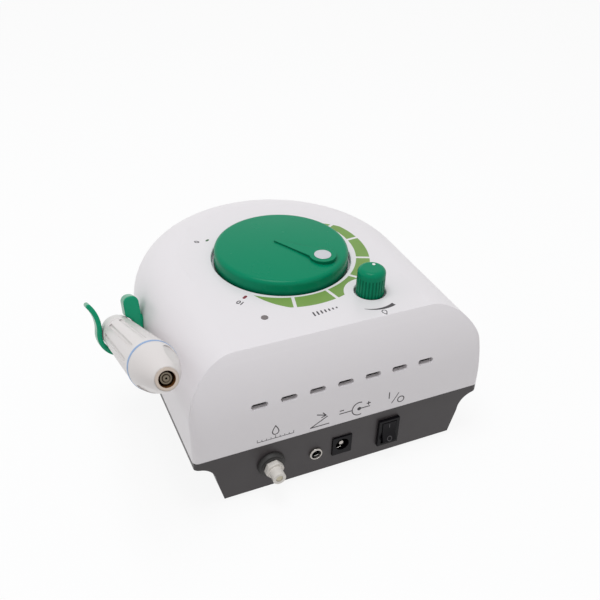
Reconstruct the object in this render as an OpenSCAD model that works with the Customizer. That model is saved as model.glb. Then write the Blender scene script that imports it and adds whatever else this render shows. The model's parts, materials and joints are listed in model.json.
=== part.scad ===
// Table-top ultrasonic scaler console with a clip-on handpiece, seen from the rear in use on a bench.
// Frame: +Z up, rear panel towards +Y, handpiece side +X, origin under the middle of the housing
// on the table plane. All sizes in millimetres.

/* [Housing] */
// Overall width of the housing
body_w = 140; // [136:1:146]
// Overall depth of the housing, rear panel to rounded front
body_d = 153; // [150:1:160]
// Height of the flat top above the table
top_z = 69.8; // [68:0.2:72]
// Height of the joint between the white cover and the grey base
seam_z = 27.5; // [27:0.1:28]
// Fillet between the sides and the top
top_fillet = 23.5; // [21:0.5:25]
// Height where the curved back leaves the vertical
back_arc_z = 31.6; // [30:0.2:34]
// How far the crease at the top of the back sits in front of the rear panel
crease_setback = 14.3; // [13:0.1:16]
// Fillet of the crease between back and top
crease_fillet = 9; // [6:0.5:12]
// Fillet of the two upright rear corners
corner_fillet = 2.5; // [2:0.5:5]
// Wall of the moulded shells
wall = 2.5; // [2:0.1:3]

/* [Base] */
// Half width of the lip under the joint
lip_half = 69.7; // [69:0.1:70]
// Half width where the concave flank ends
waist_half = 60.3; // [59:0.1:61]
// Half width at the bottom
foot_half = 57; // [56:0.1:58]
// Height of the underside of the base above the table
base_z = 2; // [1.5:0.1:3]
// Radius of a rubber foot
foot_r = 6; // [5:0.5:7]
// Wall of the base
base_wall = 3; // [2.8:0.1:3.2]

/* [Power dial] */
// Radius of the well in the top that the dial turns in
well_r = 33.55; // [33:0.05:34]
// Depth of the well
well_depth = 3.5; // [3:0.1:4]
// Radius of the dial's skirt
dial_r = 32.6; // [31.5:0.1:32.6]
// Height of the dial's crown above the table
dial_top_z = 77.1; // [76:0.1:78]
// Direction in which the pointer rests, from +X towards +Y
dial_angle = 128.5; // [100:0.5:150]
// Distance from the dial's centre to the middle of the pointer's boss
boss_reach = 22; // [20:0.5:23]
// Radius of the pointer's boss
boss_r = 6.4; // [5.5:0.1:6.5]
// Radius of the silver inlay in the boss
inlay_r = 4; // [3.8:0.1:4.8]

/* [Water knob] */
// Radius of the knob at its foot
knob_r = 6.6; // [6.2:0.1:6.8]
// Height of the knob's crown above the table
knob_top_z = 82.2; // [80:0.2:84]
// Number of flutes round the knob
knob_flutes = 26; // [22:1:36]

/* [Rear panel] */
// Air slots in a row
slot_count = 7; // [5:1:9]
// Spacing of the air slots
slot_pitch = 13.3; // [12:0.1:14]
// Length of an air slot
slot_len = 7.5; // [6:0.1:9]
// Height of an air slot
slot_h = 2.4; // [2:0.1:3]
// Radius of the water inlet's hose spigot
spigot_r = 3; // [2.5:0.1:3]
// Radius of the foot switch jack's plug bore
jack_bore_r = 1.8; // [1.75:0.05:1.9]
// Radius of the power inlet's plug hole
dc_hole_r = 3.2; // [3:0.1:3.4]
// Radius of the power inlet's centre pin
dc_pin_r = 1.05; // [1:0.05:1.25]
// Travel of the mains rocker from off to on
rocker_throw = 20; // [16:1:22]

/* [Handpiece] */
// Rise of the handpiece from tail to nose
tilt = 25; // [24:0.5:26]
// Length of the handpiece
hp_len = 103; // [100:0.5:106]
// Radius of the tail collar
tail_r = 7.7; // [7.4:0.05:7.8]
// Radius at the colour ring, the thickest place
ring_r = 9.9; // [9.6:0.05:10.2]
// Distance from the tail to the colour ring
ring_s = 79; // [76:0.5:82]
// Radius of the nose rim
nose_rim_r = 4.3; // [4.1:0.05:4.6]
// Radius of the hole in the nose
nose_hole_r = 3.1; // [3:0.05:3.3]
// Number of grip flutes round the handpiece
grip_flutes = 10; // [8:1:12]

/* [Hidden] */
$fn = 64;
eps = 0.01;
// Gap of a turning or sliding fit, and of a screwed or seated one
run_gap = 0.05;
seat_gap = 0.02;

// Housing
half_w = body_w / 2;
rear_y = body_d / 2;
front_cy = half_w - body_d / 2;
straight = rear_y - front_cy;
back_r = ((top_z - back_arc_z) ^ 2 + crease_setback ^ 2) / (2 * crease_setback);
back_cy = rear_y - back_r;
crease_z = top_z - crease_fillet;
crease_y = back_cy + sqrt((back_r - crease_fillet) ^ 2 - (crease_z - back_arc_z) ^ 2);
crease_angle = atan2(crease_z - back_arc_z, crease_y - back_cy);
waist_z = 14.6;
flank_r = 9.1;
tongue_h = 2;
tongue_t = 1.4;
tongue_in = wall + 0.2;

// Places on the top, x and y
dial_at = [0, 0.7];
knob_at = [-26.4, 42.4];
lamp_at = [26.1, 44.5];
knob_hole_r = 7.3;
lamp_r = 1.6;
well_z = top_z - well_depth;
lip = 0.8;
pointer_rise = 0.7;
shaft_r = 3;
knob_crown = 2.4;
knob_taper = 0.15;
knob_foot_z = well_z + 2.6;
bush_r = 3.5;
stem_r = 2;
valve_bush_r = 3;
marker_angle = 228;
marker_reach = 3;
marker_r = 0.75;

// Places on the rear panel, x and z
inlet_at = [35.4, 15.5];
jack_at = [14, 13.7];
dc_at = [1, 14.3];
switch_at = [-22.4, 14.7];
slot_z = 48.2;
switch_w = 10.6;
switch_h = 14.9;
switch_in = 3.7;
pivot_y = rear_y - 2.5;
dc_w = 9.6;
dc_h = 10.2;
dc_hole_rise = 0.6;
dc_hole_depth = 9.5;
dc_root_r = 1.4;
dc_root_depth = 12;
inlet_r = 4.9;
jack_r = 2.6;

// Places under the housing
screw_at = [[-48, 48], [48, 48], [-40, -28], [40, -28]];
foot_at = [[-47, 66], [47, 66], [-27, -48], [27, -48]];
floor_z = base_z + base_wall;
screw_post_r = 4;
case_screw_r = 1.5;
case_head_r = 2.8;
board_post_r = 3;
board_screw_r = 1.2;

// Circuit board
board_z = 12;
board_t = 1.6;
board_x = [-33, 22];
board_y = [-50, 40];
board_screw_at = [[-29, -46], [18, -46], [-29, 36], [18, 36]];
board_top = board_z + board_t;
sink_fins = 6;
fin_pitch = 3.4;
fin_t = 1.2;
sink_x = board_x[0] + 1;
sink_y = [-30, 28];
transformer_at = [6, -26];

// Water parts
hose_r = 2.4;
barb_r = 1.5;
barb_len = 7.5;
hose_bore = 1.55;
solenoid_y = 34;
valve_port_z = 52;
valve_out_z = 48;
outlet_z = 37;
outlet_face_y = -body_d / 2 + 0.6;
outlet_r = 5;
outlet_flange_r = 7;
cord_bore_r = 3.2;

// Handpiece axis: the tail's centre, then along the rise
tail_at = [81.2, -4.2, 44];
collar_len = 10;
ring_len = 2.2;
nose_s = ring_s + ring_len;
flat_s = 84;
flat_reach = 8.95;
flat_half = 3;
flat_slope = 11.5;
flat_angle = 45;
clip_near_s = 9.4;
clip_depth = 8.4;
cradle_r = 8.1;
clip_t = 2.3;
clip_arm_x = 77.3;
clip_arm_top = 16.1;
clip_wall_x = half_w + 0.15;
flare_r = 15;
flare_turn = 13;
clip_boss_r = 3;
clip_screw_r = 1.25;
clip_screws = [[-7.6, half_w - wall], [3.2, half_w - 3.6]];

// Inside the handpiece
bore_r = 6.4;
socket_r = 4.6;
piezo_count = 4;
piezo_s = 52;
piezo_t = 2.8;
electrode_t = 0.25;
mass_len = 14;
stack_r = 5.5;
bolt_r = 2.5;

// A point on the handpiece: s along the axis from the tail, h square to it and upwards
function on_axis(s, h) = [tail_at[0], tail_at[1] + s * cos(tilt) - h * sin(tilt),
  tail_at[2] + s * sin(tilt) + h * cos(tilt)];
// Centre of the arc of radius r from a to b that bulges to the left of that direction
function arc_centre(a, b, r) = let (m = (a + b) / 2, d = b - a, c = norm(d))
  m - sqrt(r ^ 2 - c ^ 2 / 4) * [-d[1], d[0]] / c;
// Point at t on a cubic curve with four control points
function bezier(p, t) = (1 - t) ^ 3 * p[0] + 3 * t * (1 - t) ^ 2 * p[1] + 3 * t ^ 2 * (1 - t) * p[2]
  + t ^ 3 * p[3];
function unit(v) = v / norm(v);
// Middle of the holder's depth, h above the handpiece axis
function clip_mid(h) = on_axis(clip_near_s - clip_depth / 2, h);
// Foot of the white spot on the knob's crown
function marker_at() = [knob_at[0] + marker_reach * cos(marker_angle),
  knob_at[1] + marker_reach * sin(marker_angle), knob_top_z - 0.5];

// Upright cylinder by its two heights
module post(at, r, z0, z1) {
  translate([at[0], at[1], z0]) cylinder(h = z1 - z0, r = r);
}
// Cylinder along the rear panel's normal, by its two distances along Y
module plug(at, r, y0, y1) {
  translate([at[0], y0, at[1]]) rotate([-90, 0, 0]) cylinder(h = y1 - y0, r = r);
}
// Box by its two corners
module block(a, b) {
  translate(a) cube(b - a);
}
// Ring by its radii and heights
module ring(r0, r1, z0, z1) {
  translate([0, 0, z0]) difference() {
    cylinder(h = z1 - z0, r = r1);
    translate([0, 0, -1]) cylinder(h = z1 - z0 + 2, r = r0);
  }
}
// Hexagon nut of a width across flats, with a round hole
module hex_nut(flats, hole_r, h) {
  difference() {
    cylinder(h = h, r = flats / sqrt(3), $fn = 6);
    translate([0, 0, -1]) cylinder(h = h + 2, r = hole_r);
  }
}
// Places children on the handpiece axis, with local Z from tail to nose
module on_handpiece() {
  translate(tail_at) rotate([tilt - 90, 0, 0]) children();
}
// Round hose with a bore, that follows a cubic curve between straight ends over its barbs
module hose(p, r, bore, bends = 16, sides = 10) {
  first = unit(p[1] - p[0]);
  last = unit(p[3] - p[2]);
  curve = [p[0] + barb_len * first, p[1], p[2], p[3] - barb_len * last];
  path = concat([p[0]], [for (i = [0:bends]) bezier(curve, i / bends)], [p[3]]);
  rings = bends + 2;
  dirs = [for (i = [0:rings]) i <= 1 ? first : i > bends ? last : unit(path[i + 1] - path[i - 1])];
  side = [for (d = dirs) unit(cross(d, [0.31, 0.87, 0.39]))];
  pts = [for (k = [0, 1], i = [0:rings], j = [0:sides - 1]) let (a = 360 * j / sides, q = [r, bore][k])
    path[i] + q * (cos(a) * side[i] + sin(a) * cross(dirs[i], side[i]))];
  n = (rings + 1) * sides;
  function id(k, i, j) = k * n + i * sides + (j % sides);
  outer = [for (i = [0:rings - 1], j = [0:sides - 1])
    [id(0, i, j), id(0, i, j + 1), id(0, i + 1, j + 1), id(0, i + 1, j)]];
  inner = [for (i = [0:rings - 1], j = [0:sides - 1])
    [id(1, i, j), id(1, i + 1, j), id(1, i + 1, j + 1), id(1, i, j + 1)]];
  ends = [for (j = [0:sides - 1]) each [
    [id(0, 0, j), id(1, 0, j), id(1, 0, j + 1), id(0, 0, j + 1)],
    [id(0, rings, j), id(0, rings, j + 1), id(1, rings, j + 1), id(1, rings, j)]]];
  polyhedron(pts, [for (f = concat(outer, inner, ends)) [f[3], f[2], f[1], f[0]]]);
}

// Housing shapes

// Half section of the housing: wall, large fillet, flat top
module housing_half(inset, z0) {
  w = half_w - inset;
  z1 = top_z - inset;
  f = top_fillet - inset;
  translate([0, z0]) square([w - f, z1 - z0]);
  translate([0, z0]) square([w, z1 - f - z0]);
  translate([w - f, z1 - f]) intersection() {
    circle(f);
    square(f);
  }
}
// Half section of the base: narrow foot, concave flank, lip under the joint
module base_half(inset) {
  waist = waist_half - inset;
  z0 = base_z + inset;
  polygon([[0, z0], [foot_half - inset, z0], [waist, waist_z], [waist, seam_z], [0, seam_z]]);
  difference() {
    translate([waist, waist_z]) square([lip_half - waist_half, seam_z - waist_z]);
    translate([waist_half + flank_r, waist_z]) circle(flank_r + inset);
  }
}
// Runs a half section straight from the rear, then half a turn round the front
module tombstone(inset) {
  translate([0, rear_y - inset, 0]) rotate([90, 0, 0]) linear_extrude(straight - inset) {
    children();
    mirror([1, 0]) children();
  }
  translate([0, front_cy, 0]) rotate([0, 0, 180]) rotate_extrude(angle = 180) children();
}
// Plan of the rear with rounded upright corners
module rear_plan(inset) {
  w = half_w - inset;
  c = corner_fillet - inset / 2;
  translate([-w, -body_d / 2]) square([2 * w, body_d - inset - c]);
  translate([c - w, -body_d / 2]) square([2 * (w - c), body_d - inset]);
  for (side = [-1, 1]) translate([side * (w - c), rear_y - inset - c]) circle(c);
}
// Half section of a drum whose rims are rounded, lying on its axis
module drum_half(w, r, c) {
  square([r - c, w]);
  square([r, w - c]);
  translate([r - c, w - c]) circle(c);
}
// Drum along X that forms the curved back, with rounded rims
module back_drum(inset) {
  translate([0, back_cy, back_arc_z]) rotate([0, 90, 0]) for (side = [0, 1])
    mirror([0, 0, side]) rotate_extrude()
      drum_half(half_w - inset, back_r - inset, corner_fillet - inset / 2);
}
// Envelope of the curved back with the rounded crease
module back_envelope() {
  far = 2 * back_r;
  linear_extrude(back_arc_z) rear_plan(0);
  block([-half_w, -body_d / 2, 0], [half_w, crease_y, top_z + 1]);
  translate([-half_w, crease_y, crease_z]) rotate([0, 90, 0]) cylinder(h = body_w, r = crease_fillet);
  intersection() {
    back_drum(0);
    translate([-body_w, back_cy, back_arc_z]) rotate([90, 0, 90]) linear_extrude(2 * body_w)
      polygon([[0, 0], far * [cos(crease_angle), sin(crease_angle)], [far, 0], [far, -back_arc_z],
        [0, -back_arc_z]]);
  }
}
// Space inside the curved back
module back_inside() {
  linear_extrude(back_arc_z) rear_plan(wall);
  block([-half_w, -body_d / 2, 0], [half_w, back_cy, top_z]);
  back_drum(wall);
}
// One air slot, cut through the back along Y
module air_slot(x) {
  run = slot_len - slot_h;
  translate([x, rear_y, slot_z]) rotate([90, 0, 0]) linear_extrude(12) {
    square([run, slot_h], center = true);
    for (side = [-1, 1]) translate([side * run / 2, 0]) circle(slot_h / 2);
  }
}
// Round well in the flat top, with a soft edge
module soft_well(at, r) {
  edge_z = top_z - lip * cos(30);
  translate([at[0], at[1], 0]) rotate_extrude() difference() {
    translate([0, well_z]) square([r + lip, well_depth + lip]);
    translate([r + lip, edge_z]) circle(lip);
    translate([r, well_z - 1]) square([2 * lip, edge_z - well_z + 1]);
  }
}

// Shells

module upper_shell() {
  cup_r = knob_hole_r + 2;
  color([0.9, 0.9, 0.91]) difference() {
    union() {
      difference() {
        intersection() {
          tombstone(0) housing_half(0, seam_z);
          back_envelope();
        }
        intersection() {
          tombstone(wall) housing_half(wall, seam_z - 1);
          back_inside();
        }
      }
      post(dial_at, well_r + 2, well_z - wall, top_z - 1);
      post(knob_at, cup_r, well_z - wall, top_z - 1);
      for (at = screw_at) post(at, screw_post_r, seam_z, top_z - 1);
    }
    soft_well(dial_at, well_r);
    post(dial_at, bush_r + run_gap, well_z - wall - 1, top_z);
    soft_well(knob_at, knob_hole_r);
    post(knob_at, valve_bush_r + run_gap, well_z - wall - 1, top_z);
    post(lamp_at, lamp_r, top_z - 5, top_z + 1);
    for (at = screw_at) post(at, case_screw_r + seat_gap, seam_z - 1, seam_z + 12);
    for (i = [0:slot_count - 1]) air_slot((i - (slot_count - 1) / 2) * slot_pitch);
    for (c = clip_screws) translate([half_w - 8, clip_mid(c[0])[1], clip_mid(c[0])[2]]) rotate([0, 90, 0])
      cylinder(h = 12, r = clip_boss_r + run_gap);
    plug([0, outlet_z], outlet_flange_r + 0.2, -body_d / 2 - 1, outlet_face_y);
    plug([0, outlet_z], outlet_r + run_gap, -body_d / 2 - 1, -body_d / 2 + 6);
  }
}

module base_pan() {
  color([0.28, 0.27, 0.28]) difference() {
    union() {
      difference() {
        intersection() {
          tombstone(0) base_half(0);
          linear_extrude(seam_z) rear_plan(0);
        }
        translate([0, 0, eps]) tombstone(base_wall) base_half(base_wall);
      }
      difference() {
        intersection() {
          tombstone(tongue_in) translate([0, seam_z - tongue_h]) square([half_w - tongue_in, 2 * tongue_h]);
          linear_extrude(seam_z + tongue_h) rear_plan(tongue_in);
        }
        tombstone(tongue_in + tongue_t) translate([0, seam_z - tongue_h - 1])
          square([half_w - tongue_in - tongue_t, 2 * tongue_h + 2]);
      }
      for (at = screw_at) post(at, screw_post_r, floor_z - 0.5, seam_z);
      for (at = board_screw_at) post(at, board_post_r, floor_z - 0.5, board_z);
      block([inlet_at[0] - 9, solenoid_y - 10, floor_z - 0.5], [inlet_at[0] + 9, solenoid_y + 10, 6]);
    }
    for (at = screw_at) {
      post(at, case_screw_r + 0.1, base_z - 1, seam_z + 5);
      post(at, case_head_r + 0.4, base_z - 1, base_z + 3);
    }
    for (at = board_screw_at) post(at, board_screw_r + seat_gap, floor_z + 1, board_z + 1);
    for (at = foot_at) post(at, foot_r + run_gap, base_z - 1, base_z + 1);
    plug(inlet_at, inlet_r + 0.15, rear_y - 5, rear_y + 1);
    plug(jack_at, jack_r + run_gap, rear_y - 5, rear_y + 1);
    block([dc_at[0] - dc_w / 2 - run_gap, rear_y - 5, dc_at[1] - dc_h / 2 - run_gap],
      [dc_at[0] + dc_w / 2 + run_gap, rear_y + 1, dc_at[1] + dc_h / 2 + run_gap]);
    block([switch_at[0] - switch_w / 2 + 0.6, rear_y - 5, switch_at[1] - switch_h / 2 + 0.6],
      [switch_at[0] + switch_w / 2 - 0.6, rear_y + 1, switch_at[1] + switch_h / 2 - 0.6]);
  }
}

module rubber_feet() {
  color([0.12, 0.12, 0.12]) for (at = foot_at) translate([at[0], at[1], 0]) rotate_extrude()
    polygon([[0, 0], [foot_r - 1.2, 0], [foot_r, 1.2], [foot_r, base_z + 1], [0, base_z + 1]]);
}

module case_screws() {
  color([0.6, 0.6, 0.62]) for (at = screw_at) difference() {
    union() {
      post(at, case_head_r, base_z + 0.8, base_z + 3);
      post(at, case_screw_r, base_z + 2.9, seam_z + 10);
    }
    post(at, 1.2, base_z, base_z + 2);
  }
}

// Power dial and its control

// Half section of the dial: hollow cap with rounded rim and low crown
module dial_half() {
  rim = 2.2;
  crown_r = 400;
  skirt_z = well_z + 0.8;
  rim_x = dial_r - 0.4 - rim;
  rim_z = dial_top_z - crown_r + sqrt((crown_r - rim) ^ 2 - rim_x ^ 2);
  meet_x = rim_x * crown_r / (crown_r - rim);
  difference() {
    union() {
      polygon([[0, skirt_z], [dial_r, skirt_z], [dial_r - 0.4, rim_z], [0, rim_z]]);
      intersection() {
        translate([0, rim_z - 1]) square([meet_x, rim + 4]);
        translate([0, dial_top_z - crown_r]) circle(crown_r, $fn = 720);
      }
      translate([rim_x, rim_z]) circle(rim);
    }
    translate([5.5, well_z]) square([dial_r - 2.6 - 5.5, 5.2]);
    translate([0, well_z]) square([8, 3.2]);
    translate([0, well_z]) square([shaft_r + seat_gap, 7]);
  }
}
module power_dial() {
  tip = 3.7;
  neck = 17.6;
  neck_half = 4.1;
  pointer_z = dial_top_z + pointer_rise;
  color([0, 0.54, 0.39]) difference() {
    union() {
      translate([dial_at[0], dial_at[1], 0]) rotate_extrude() dial_half();
      translate([dial_at[0], dial_at[1], dial_top_z - 3]) rotate(dial_angle)
        linear_extrude(pointer_z - dial_top_z + 3) {
          polygon([[-tip, -0.5], [neck, -neck_half], [neck + 1, 0], [neck, neck_half], [-tip, 0.5]]);
          translate([boss_reach, 0]) circle(boss_r);
        }
    }
    translate([dial_at[0], dial_at[1], pointer_z - 0.8]) rotate(dial_angle) translate([boss_reach, 0, 0])
      cylinder(h = 2, r = inlay_r + seat_gap);
  }
}
module dial_inlay() {
  color([0.82, 0.82, 0.86]) translate([dial_at[0], dial_at[1], dial_top_z + pointer_rise - 0.8])
    rotate(dial_angle) translate([boss_reach, 0, 0]) cylinder(h = 0.9, r = inlay_r);
}
module dial_shaft() {
  color([0.7, 0.7, 0.72]) post(dial_at, shaft_r, well_z - wall - 6, well_z + 6.8);
}
module power_potentiometer() {
  z1 = well_z - wall;
  color([0.25, 0.3, 0.4]) difference() {
    union() {
      post(dial_at, 8.5, z1 - 9, z1);
      post(dial_at, bush_r, z1 - 1, well_z + 2.4);
      block([dial_at[0] - 6, dial_at[1] - 12, z1 - 8], [dial_at[0] + 6, dial_at[1], z1 - 6.8]);
    }
    post(dial_at, shaft_r + run_gap, z1 - 7, top_z + 2);
  }
}
module potentiometer_nut() {
  color([0.75, 0.75, 0.78]) translate([dial_at[0], dial_at[1], well_z]) hex_nut(10, bush_r + seat_gap, 2);
}

// Water knob and its valve

module knob_half() {
  top_r = knob_r - knob_taper;
  shoulder_z = knob_top_z - knob_crown;
  polygon([[0, knob_foot_z], [knob_r, knob_foot_z], [top_r, shoulder_z], [0, shoulder_z]]);
  translate([0, shoulder_z - 1]) square([top_r - knob_crown, knob_crown + 1]);
  translate([top_r - knob_crown, shoulder_z]) circle(knob_crown);
}
module water_knob() {
  flute_r = 0.32;
  flute_tilt = atan2(knob_taper, knob_top_z - knob_crown - knob_foot_z);
  color([0, 0.52, 0.38]) difference() {
    translate([knob_at[0], knob_at[1], 0]) rotate_extrude() knob_half();
    for (i = [0:knob_flutes - 1]) translate([knob_at[0], knob_at[1], well_z]) rotate(360 * i / knob_flutes)
      translate([knob_r + 0.06, 0, 0]) rotate([0, -flute_tilt, 0])
        cylinder(h = knob_top_z - well_z - 4, r = flute_r, $fn = 16);
    post(knob_at, stem_r + seat_gap, well_z + 2, well_z + 9.6);
    translate(marker_at()) cylinder(h = 2, r = marker_r + seat_gap);
  }
}
module knob_marker() {
  color([0.97, 0.97, 0.97]) translate(marker_at()) cylinder(h = 0.55, r = marker_r);
}
module valve_stem() {
  color([0.72, 0.72, 0.74]) post(knob_at, stem_r, well_z - wall - 9, well_z + 9.5);
}
module water_valve() {
  z1 = well_z - wall;
  color([0.78, 0.66, 0.36]) difference() {
    union() {
      post(knob_at, 6.5, z1 - 18, z1);
      post(knob_at, valve_bush_r, z1 - 1, well_z + 2.2);
      translate([knob_at[0], knob_at[1], valve_port_z]) rotate([0, 90, 0]) cylinder(h = 14, r = barb_r);
      translate([knob_at[0], knob_at[1], valve_out_z]) rotate([90, 0, 0]) cylinder(h = 14, r = barb_r);
    }
    post(knob_at, stem_r + run_gap, z1 - 10, top_z);
    post(knob_at, 1, z1 - 17, top_z);
  }
}
module valve_nut() {
  color([0.75, 0.75, 0.78]) translate([knob_at[0], knob_at[1], well_z])
    hex_nut(8, valve_bush_r + seat_gap, 1.8);
}

// Indicator

module indicator_lens() {
  color([0.5, 0.45, 0.47]) {
    post(lamp_at, lamp_r - run_gap, top_z - 3.6, top_z + 0.15);
    post(lamp_at, 2.4, top_z - wall - 1.2, top_z - wall);
  }
}
module indicator_lamp() {
  z1 = top_z - wall - 1.2;
  color([0.85, 0.3, 0.25]) {
    post(lamp_at, 1.5, z1 - 4.5, z1);
    post(lamp_at, 1.9, z1 - 5.5, z1 - 4.5);
    for (side = [-1, 1]) post([lamp_at[0] + side * 0.9, lamp_at[1]], 0.25, z1 - 14, z1 - 5.4);
  }
}

// Circuit board and what it carries

module main_board() {
  color([0.05, 0.35, 0.2]) difference() {
    block([board_x[0], board_y[0], board_z], [board_x[1], board_y[1], board_top]);
    for (at = board_screw_at) post(at, 1.6, board_z - 1, board_top + 1);
  }
}
module board_screws() {
  color([0.6, 0.6, 0.62]) for (at = board_screw_at) {
    post(at, 2.4, board_top, board_top + 1.8);
    post(at, board_screw_r, board_z - 5, board_top + 0.1);
  }
}
module heat_sink() {
  color([0.75, 0.75, 0.77]) translate([sink_x, sink_y[1], board_top]) rotate([90, 0, 0])
    linear_extrude(sink_y[1] - sink_y[0]) {
      square([(sink_fins - 1) * fin_pitch + fin_t, 4]);
      for (i = [0:sink_fins - 1]) translate([i * fin_pitch, 0]) square([fin_t, 20]);
    }
}
module power_transistors() {
  x0 = sink_x + (sink_fins - 1) * fin_pitch + fin_t;
  color([0.1, 0.1, 0.1]) for (y = [-14, 12]) {
    block([x0, y - 5, board_top + 5], [x0 + 4.5, y + 5, board_top + 20]);
    for (k = [-2.5, 0, 2.5])
      block([x0 + 1.8, y + k - 0.4, board_top], [x0 + 2.4, y + k + 0.4, board_top + 5]);
  }
}
module transformer_core() {
  color([0.2, 0.2, 0.22]) translate([transformer_at[0], transformer_at[1], board_top]) difference() {
    block([-14, -6, 0], [14, 6, 22]);
    for (side = [-1, 1]) block([side * 7.25 - 3.25, -7, 4], [side * 7.25 + 3.25, 7, 18]);
  }
}
module transformer_winding() {
  color([0.75, 0.42, 0.2]) translate([transformer_at[0], transformer_at[1], board_top + 4.5]) difference() {
    block([-10, -11, 0], [10, 11, 13]);
    block([-4.05, -6.05, -1], [4.05, 6.05, 14]);
  }
}
module capacitors() {
  can_r = 6.3;
  can_h = 24;
  color([0.15, 0.2, 0.45]) for (y = [2, 18]) translate([13, y, board_top]) rotate_extrude()
    polygon([[0, 0], [can_r, 0], [can_r, 2], [can_r - 0.4, 2.5], [can_r - 0.4, 3.1], [can_r, 3.6],
      [can_r, can_h - 0.5], [can_r - 0.5, can_h], [0, can_h]]);
}
module board_connectors() {
  color([0.9, 0.88, 0.8]) for (x = [-17, -4, 8]) difference() {
    block([x - 5, 31, board_top], [x + 5, 37, board_top + 8]);
    block([x - 4.2, 31.8, board_top + 2], [x + 4.2, 36.2, board_top + 9]);
  }
}

// Water supply

module solenoid_body() {
  x = inlet_at[0];
  color([0.8, 0.68, 0.38]) difference() {
    union() {
      block([x - 7, solenoid_y - 12, 6], [x + 7, solenoid_y + 9, 22]);
      plug(inlet_at, barb_r, solenoid_y + 8, solenoid_y + 15);
      post([x, solenoid_y - 8], barb_r, 21, 29);
    }
    plug(inlet_at, 0.8, solenoid_y, solenoid_y + 16);
    post([x, solenoid_y - 8], 0.8, 16, 30);
  }
}
module solenoid_coil() {
  at = [inlet_at[0], solenoid_y + 2];
  color([0.12, 0.12, 0.13]) {
    block([at[0] - 7, at[1] - 5.5, 22], [at[0] + 7, at[1] + 6.5, 38]);
    post(at, 4.5, 37.5, 41);
  }
}
module inlet_hose() {
  color([0.85, 0.87, 0.9]) difference() {
    plug(inlet_at, hose_r, solenoid_y + 9.2, rear_y - 14.2);
    plug(inlet_at, hose_bore, solenoid_y + 9, rear_y - 14);
  }
}
module valve_hose() {
  a = [inlet_at[0], solenoid_y - 8, 22.4];
  b = [knob_at[0] + 6.8, knob_at[1], valve_port_z];
  color([0.85, 0.87, 0.9]) hose([a, a + [0, 0, 38], b + [27, 0, 0], b], hose_r, hose_bore + 0.1);
}
module outlet_hose() {
  a = [knob_at[0], knob_at[1] - 6.8, valve_out_z];
  b = [0, -body_d / 2 + 12.4, outlet_z];
  color([0.85, 0.87, 0.9]) hose([a, a - [0, 38, 0], b + [0, 38, 0], b], hose_r, hose_bore + 0.1);
}

// Rear panel

module inlet_grommet() {
  color([0.2, 0.2, 0.2]) translate([inlet_at[0], rear_y, inlet_at[1]]) rotate([-90, 0, 0]) rotate_extrude()
    polygon([[5, 0], [6.4, 0], [6.4, 1], [5.7, 2.2], [5.2, 2.2], [5, 2.4]]);
}
module inlet_fitting() {
  flats = 7.6;
  color([0.87, 0.86, 0.82]) translate([inlet_at[0], rear_y, inlet_at[1]]) rotate([-90, 0, 0]) difference() {
    union() {
      translate([0, 0, -9]) cylinder(h = 11.5, r = inlet_r);
      intersection() {
        translate([0, 0, 2.4]) rotate(12) cylinder(h = 2.8, r = flats / sqrt(3), $fn = 6);
        translate([0, 0, 2.4]) cylinder(h = 2.8, r1 = 4.7, r2 = 4.1);
      }
      translate([0, 0, 5]) cylinder(h = 4.9, r = spigot_r);
      translate([0, 0, -21]) cylinder(h = 13, r = barb_r);
    }
    translate([0, 0, -22]) cylinder(h = 40, r = 0.8);
    translate([0, 0, 3]) cylinder(h = 10, r = 1.6);
  }
}
module inlet_nut() {
  color([0.85, 0.84, 0.8]) translate([inlet_at[0], rear_y - base_wall, inlet_at[1]]) rotate([90, 0, 0])
    hex_nut(13, inlet_r + seat_gap, 4);
}
module footswitch_jack() {
  color([0.1, 0.1, 0.1]) difference() {
    union() {
      block([jack_at[0] - 4.5, rear_y - 17, jack_at[1] - 4.5],
        [jack_at[0] + 4.5, rear_y - base_wall, jack_at[1] + 4.5]);
      plug(jack_at, jack_r, rear_y - base_wall - 0.5, rear_y + 0.6);
    }
    plug(jack_at, jack_bore_r, rear_y - 15, rear_y + 1);
    plug(jack_at, 2.1, rear_y + 0.1, rear_y + 1);
  }
}
module jack_ring() {
  color([0.78, 0.76, 0.7]) translate([jack_at[0], rear_y, jack_at[1]]) rotate([-90, 0, 0]) rotate_extrude()
    polygon([[jack_r, 0], [jack_r + 0.5, 0], [jack_r + 0.5, 0.9], [jack_r + 0.2, 1.3], [2.35, 1.3],
      [2.15, 0.6], [jack_r, 0.6]]);
}
module dc_inlet() {
  x = dc_at[0];
  z = dc_at[1];
  color([0.11, 0.11, 0.11]) difference() {
    union() {
      block([x - dc_w / 2, rear_y - 13, z - dc_h / 2], [x + dc_w / 2, rear_y + 0.8, z + dc_h / 2]);
      block([x - dc_w / 2 - 0.7, rear_y - base_wall - 1.5, z - dc_h / 2 - 0.7],
        [x + dc_w / 2 + 0.7, rear_y - base_wall, z + dc_h / 2 + 0.7]);
    }
    plug([x, z + dc_hole_rise], dc_hole_r, rear_y - dc_hole_depth, rear_y + 2);
    plug([x, z + dc_hole_rise], dc_root_r + seat_gap, rear_y - dc_root_depth, rear_y);
  }
}
module dc_pin() {
  at = [dc_at[0], dc_at[1] + dc_hole_rise];
  color([0.82, 0.8, 0.74]) {
    plug(at, dc_pin_r, rear_y - dc_hole_depth, rear_y - 0.4);
    plug(at, dc_root_r, rear_y - dc_root_depth, rear_y - dc_hole_depth);
  }
}
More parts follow.
